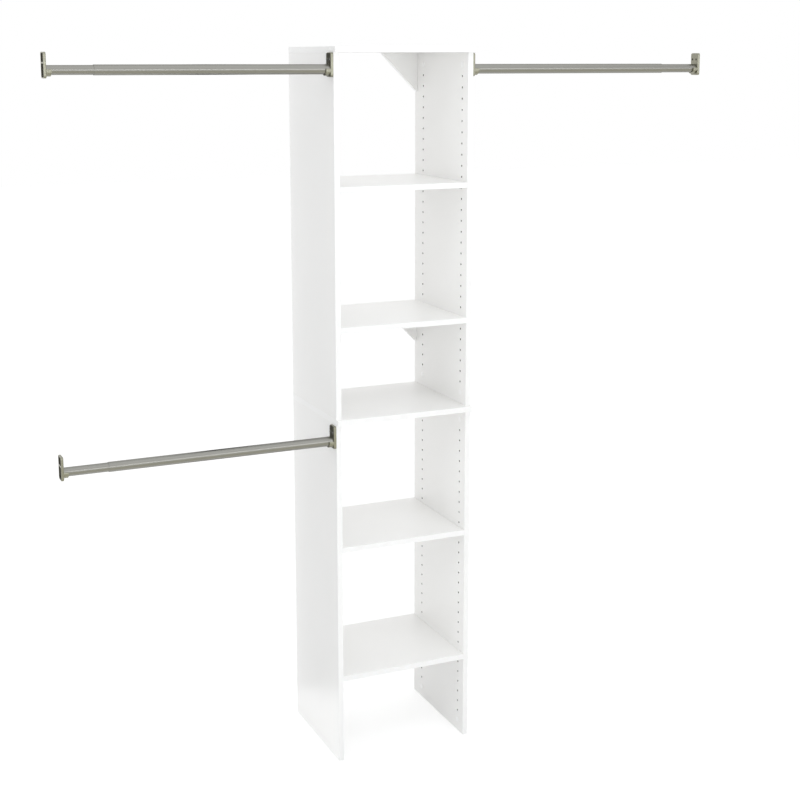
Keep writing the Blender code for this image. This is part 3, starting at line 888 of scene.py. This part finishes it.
def flange(node, tube_node, back_x, outward, body):
    """Casts a flange, drills it, and sets it against the face that it is screwed to."""
    low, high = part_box(node)
    middle = (low + high) / 2
    width = high.y - low.y
    height = high.z - low.z
    tube_low, tube_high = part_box(tube_node)
    axis = (tube_low.z + tube_high.z) / 2 - middle.z
    inside = (tube_high.y - tube_low.y) / 2 + CUP_CLEARANCE
    casting = plate_blank(width, height)
    add_cup(casting, inside, axis)
    hollow_back(casting, width, height, axis + inside + CUP_WALL + RIB / 2)
    drill_for_screws(casting, height)
    mesh = set_in_place(casting, (back_x, middle.y, middle.z), outward)
    piece = place_piece(f"{node}_casting", mesh, (CAST_METAL,), node, body)
    smooth(piece, FLANGE_SHARP)


for rod, hand in RODS.items():
    low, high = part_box(f"{rod}_tower_flange")
    back = low.x if hand > 0 else high.x
    flange(f"{rod}_tower_flange", f"{rod}_outer_tube", back, hand, "tower")
    low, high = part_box(f"{rod}_wall_flange")
    back = high.x if hand > 0 else low.x
    flange(f"{rod}_wall_flange", f"{rod}_inner_tube", back, -hand, f"{rod}_slide")


# Flange screws
# Two pan-head screws with a cross recess hold each tower flange to the side. They are steel with
# a dark oxide finish, and their shanks run into the board.

SCREW_SHANK_RADIUS = 0.0019
SCREW_HEAD_RADIUS = 0.004
HEAD_HEIGHT = 0.0024
HEAD_SIDE = 0.0006
HEAD_DOME = 0.0018
SCREW_SIDES = 32
SCREW_DARK = (0.15, 0.15, 0.145)
SCREW_WORN = (0.22, 0.22, 0.21)
OXIDE_ROUGH = 0.45
OXIDE_PATCH = 0.0012
CROSS_WIDTH = 0.0009
CROSS_REACH = 0.0042
CROSS_DEPTH = 0.0011


def dark_oxide():
    """Dark oxide on steel, a little lighter where it is worn."""
    made, tree, shader = finish("dark_oxide", SCREW_DARK, OXIDE_ROUGH, metallic=1.0)
    tint(tree, shader, mottle(tree, OXIDE_PATCH), SCREW_DARK, SCREW_WORN)
    return made


SCREW_STEEL = dark_oxide()


def flange_screw(node, outward):
    """A pan-head screw along X, with its head outward."""
    low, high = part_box(node)
    head_x, point_x = (high.x, low.x) if outward > 0 else (low.x, high.x)
    middle = (low + high) / 2
    length = high.x - low.x
    plate_front = abs(head_x - point_x) - HEAD_HEIGHT
    dome = []
    for n in range(6):
        turn = math.radians(15 * n)
        rise = plate_front + HEAD_SIDE + HEAD_DOME * math.sin(turn)
        dome.append((SCREW_HEAD_RADIUS * math.cos(turn), rise))
    profile = [
        (0.0, 0.0), (SCREW_SHANK_RADIUS, 2 * SCREW_SHANK_RADIUS), (SCREW_SHANK_RADIUS, plate_front),
        (SCREW_HEAD_RADIUS, plate_front), *dome, (0.0, length),
    ]
    screw = workpiece("screw_blank", turned(profile, SCREW_SIDES), SCREW_STEEL)
    # The cross recess is lined with the dark recess finish as painted shade.
    for size in ((CROSS_REACH, CROSS_WIDTH), (CROSS_WIDTH, CROSS_REACH)):
        slot = rounded_block(
            (CROSS_DEPTH + OVERRUN, *size), (length + (OVERRUN - CROSS_DEPTH) / 2, 0.0, 0.0), CRISP, 1,
        )
        shape_with(screw, slot, "DIFFERENCE", RECESS)
    mesh = set_in_place(screw, (point_x, middle.y, middle.z), outward)
    smooth(place_piece(f"{node}_steel", mesh, (SCREW_STEEL,), node))


for rod, hand in RODS.items():
    for column in ("front", "rear"):
        flange_screw(f"{rod}_{column}_flange_screw", hand)


# Studio
# A white floor and a white surround, soft light from large boxes in front, above and at the left,
# a dark card and a warm glowing sheet that only shine can see, which paint a dark and a warm
# reflection into the metal, and the camera at the photograph's place: eye height, to the left of the
# tower.

FLOOR_SIZE = 40.0
FLOOR_WHITE = (0.88, 0.88, 0.88)
FLOOR_IN_SHADOW = (0.6, 0.6, 0.6)
FLOOR_GLOW = 0.53
SURROUND_FRONT = 0.37
SURROUND_BACK = 1.24
LAMP_WHITE = (0.955, 0.98, 1.0)
# The dark card is seen only in reflections, where it paints a dark reflection into the metal on the
# tower's left.
CARD_WIDTH = 0.34
CARD_HEIGHT = 2.3
CARD_PLACE = (-0.4, 0.22, 1.16)
CARD_TURN = math.radians(45)
DARK_REFLECTION_GREY = (0.045, 0.045, 0.045)
# The warm sheet glows and is seen only in reflections, where it paints a warm reflection on the
# underside of the metal.
WARM_WIDTH = 14.0
WARM_DEPTH = 5.0
WARM_PLACE = (0.0, -3.0, 0.01)
WARM_REFLECTION_WHITE = (0.96, 0.94, 0.81)


def seen_directly(tree):
    """1 for what the camera, a reflection or a glass shows, and 0 for the light on the object."""
    path = tree.nodes.new("ShaderNodeLightPath")
    total = path.outputs["Is Camera Ray"]
    for other in ("Is Glossy Ray", "Is Transmission Ray"):
        either = tree.nodes.new("ShaderNodeMath")
        either.operation = "MAXIMUM"
        tree.links.new(total, either.inputs[0])
        tree.links.new(path.outputs[other], either.inputs[1])
        total = either.outputs[0]
    return total


def studio_floor():
    """A matt white floor that keeps a faint shadow and runs into the white surround."""
    bpy.ops.mesh.primitive_plane_add(size=FLOOR_SIZE, location=(0, 0, 0))
    floor = bpy.context.object
    floor.name = "studio_floor"
    made = bpy.data.materials.new("studio_floor")
    made.use_nodes = True
    tree = made.node_tree
    tree.nodes.remove(tree.nodes["Principled BSDF"])
    matt = tree.nodes.new("ShaderNodeBsdfDiffuse")
    matt.inputs["Color"].default_value = (*FLOOR_WHITE, 1.0)
    dim = tree.nodes.new("ShaderNodeBsdfDiffuse")
    dim.inputs["Color"].default_value = (*FLOOR_IN_SHADOW, 1.0)
    glow = tree.nodes.new("ShaderNodeEmission")
    glow.inputs["Strength"].default_value = FLOOR_GLOW
    both = tree.nodes.new("ShaderNodeAddShader")
    pick = tree.nodes.new("ShaderNodeMixShader")
    tree.links.new(dim.outputs[0], both.inputs[0])
    tree.links.new(glow.outputs[0], both.inputs[1])
    tree.links.new(seen_directly(tree), pick.inputs[0])
    tree.links.new(matt.outputs[0], pick.inputs[1])
    tree.links.new(both.outputs[0], pick.inputs[2])
    tree.links.new(pick.outputs[0], tree.nodes["Material Output"].inputs["Surface"])
    floor.data.materials.append(made)


def white_surround():
    """A white world whose light is stronger from behind, where there are no lamps."""
    world = bpy.data.worlds.new("white_surround")
    bpy.context.scene.world = world
    world.use_nodes = True
    tree = world.node_tree
    light = tree.nodes["Background"]
    white = tree.nodes.new("ShaderNodeBackground")
    white.inputs["Strength"].default_value = 1.0
    white.inputs["Color"].default_value = (1.0, 1.0, 1.0, 1.0)
    light.inputs["Color"].default_value = (1.0, 1.0, 1.0, 1.0)
    places = tree.nodes.new("ShaderNodeTexCoord")
    parts = tree.nodes.new("ShaderNodeSeparateXYZ")
    level = tree.nodes.new("ShaderNodeMapRange")
    level.inputs["From Min"].default_value = -1.0
    level.inputs["From Max"].default_value = 1.0
    level.inputs["To Min"].default_value = SURROUND_FRONT
    level.inputs["To Max"].default_value = SURROUND_BACK
    pick = tree.nodes.new("ShaderNodeMixShader")
    tree.links.new(places.outputs["Generated"], parts.inputs[0])
    tree.links.new(parts.outputs["Y"], level.inputs["Value"])
    tree.links.new(level.outputs["Result"], light.inputs["Strength"])
    tree.links.new(seen_directly(tree), pick.inputs[0])
    tree.links.new(light.outputs[0], pick.inputs[1])
    tree.links.new(white.outputs[0], pick.inputs[2])
    tree.links.new(pick.outputs[0], tree.nodes["World Output"].inputs["Surface"])


def shine_card(name, width, depth, place, turn):
    """A card that only shine can see, not light or the camera, so that it paints a reflection into the
    metal. Gives the nodes of its material.
    """
    bpy.ops.mesh.primitive_plane_add(size=1.0, location=place, rotation=turn)
    card = bpy.context.object
    card.name = name
    card.scale = (width, depth, 1.0)
    made = bpy.data.materials.new(name)
    made.use_nodes = True
    card.data.materials.append(made)
    card.visible_camera = False
    card.visible_diffuse = False
    card.visible_shadow = False
    card.visible_transmission = False
    return made.node_tree


def dark_card():
    """A dark card behind and beside the tower that only reflections show: it paints a dark reflection
    into the metal on the tower's left.
    """
    tree = shine_card("dark_card", CARD_WIDTH, CARD_HEIGHT, CARD_PLACE, (math.pi / 2, 0, CARD_TURN))
    tree.nodes["Principled BSDF"].inputs["Base Color"].default_value = (*DARK_REFLECTION_GREY, 1.0)
    tree.nodes["Principled BSDF"].inputs["Roughness"].default_value = 1.0


def warm_card():
    """A warm, pale sheet that glows, lies in front of the tower and is seen only in reflections: a
    painted warm reflection on the underside of the metal.
    """
    tree = shine_card("warm_card", WARM_WIDTH, WARM_DEPTH, WARM_PLACE, (0, 0, 0))
    glow = tree.nodes.new("ShaderNodeEmission")
    glow.inputs["Color"].default_value = (*WARM_REFLECTION_WHITE, 1.0)
    glow.inputs["Strength"].default_value = 1.0
    tree.links.new(glow.outputs[0], tree.nodes["Material Output"].inputs["Surface"])


def softbox(name, place, aim, size, power, in_shine=True):
    """A large soft lamp that looks at a point. The metal shows it only where in_shine is true."""
    data = bpy.data.lights.new(name, "AREA")
    data.shape = "RECTANGLE"
    data.size, data.size_y = size
    data.energy = power
    data.color = LAMP_WHITE
    lamp = bpy.data.objects.new(name, data)
    bpy.context.scene.collection.objects.link(lamp)
    lamp.location = place
    lamp.rotation_euler = (Vector(aim) - Vector(place)).to_track_quat("-Z", "Y").to_euler()
    lamp.visible_glossy = in_shine


studio_floor()
white_surround()
dark_card()
warm_card()
softbox("front_wall", place=(0.0, -5.6, 4.4), aim=(0.0, 0.0, 4.4), size=(10.0, 5.0), power=32.0)
softbox("front_strip", place=(0.0, -5.5, 1.9), aim=(0.0, 0.0, 1.9), size=(9.0, 1.0), power=60.0)
softbox("front_fill", (0.0, -5.4, 1.5), (0.0, 0.0, 1.5), (6.0, 2.2), power=10.0, in_shine=False)
softbox("top_box", (0.0, -2.6, 4.6), (0.0, -0.1, 1.0), (2.5, 1.0), power=20.0, in_shine=False)
softbox("overhead_box", place=(0.0, -1.6, 5.6), aim=(0.0, -1.0, 1.4), size=(7.0, 5.0), power=38.0)
softbox("left_box", place=(-5.0, -1.6, 2.4), aim=(0.0, 0.0, 1.2), size=(3.0, 4.0), power=30.0)

CAMERA_PLACE = (-1.654, -3.818, 2.054)
CAMERA_TURN = math.radians(24.21)
CAMERA_DIP = math.radians(10.25)
FOCAL_PIXELS = 1418
PHOTO_PIXELS = 800
SENSOR = 36.0
SHIFT = -0.105
FAR_END = 100.0

lens = bpy.data.cameras.new("studio_camera")
lens.sensor_width = SENSOR
lens.lens = FOCAL_PIXELS / PHOTO_PIXELS * SENSOR
lens.shift_y = SHIFT
lens.clip_end = FAR_END
camera = bpy.data.objects.new("studio_camera", lens)
bpy.context.scene.collection.objects.link(camera)
camera.location = CAMERA_PLACE
view_line = Vector((
    math.sin(CAMERA_TURN) * math.cos(CAMERA_DIP),
    math.cos(CAMERA_TURN) * math.cos(CAMERA_DIP),
    -math.sin(CAMERA_DIP),
))
camera.rotation_euler = view_line.to_track_quat("-Z", "Y").to_euler()
bpy.context.scene.camera = camera
bpy.context.scene.view_settings.view_transform = "Standard"

bpy.context.view_layer.update()
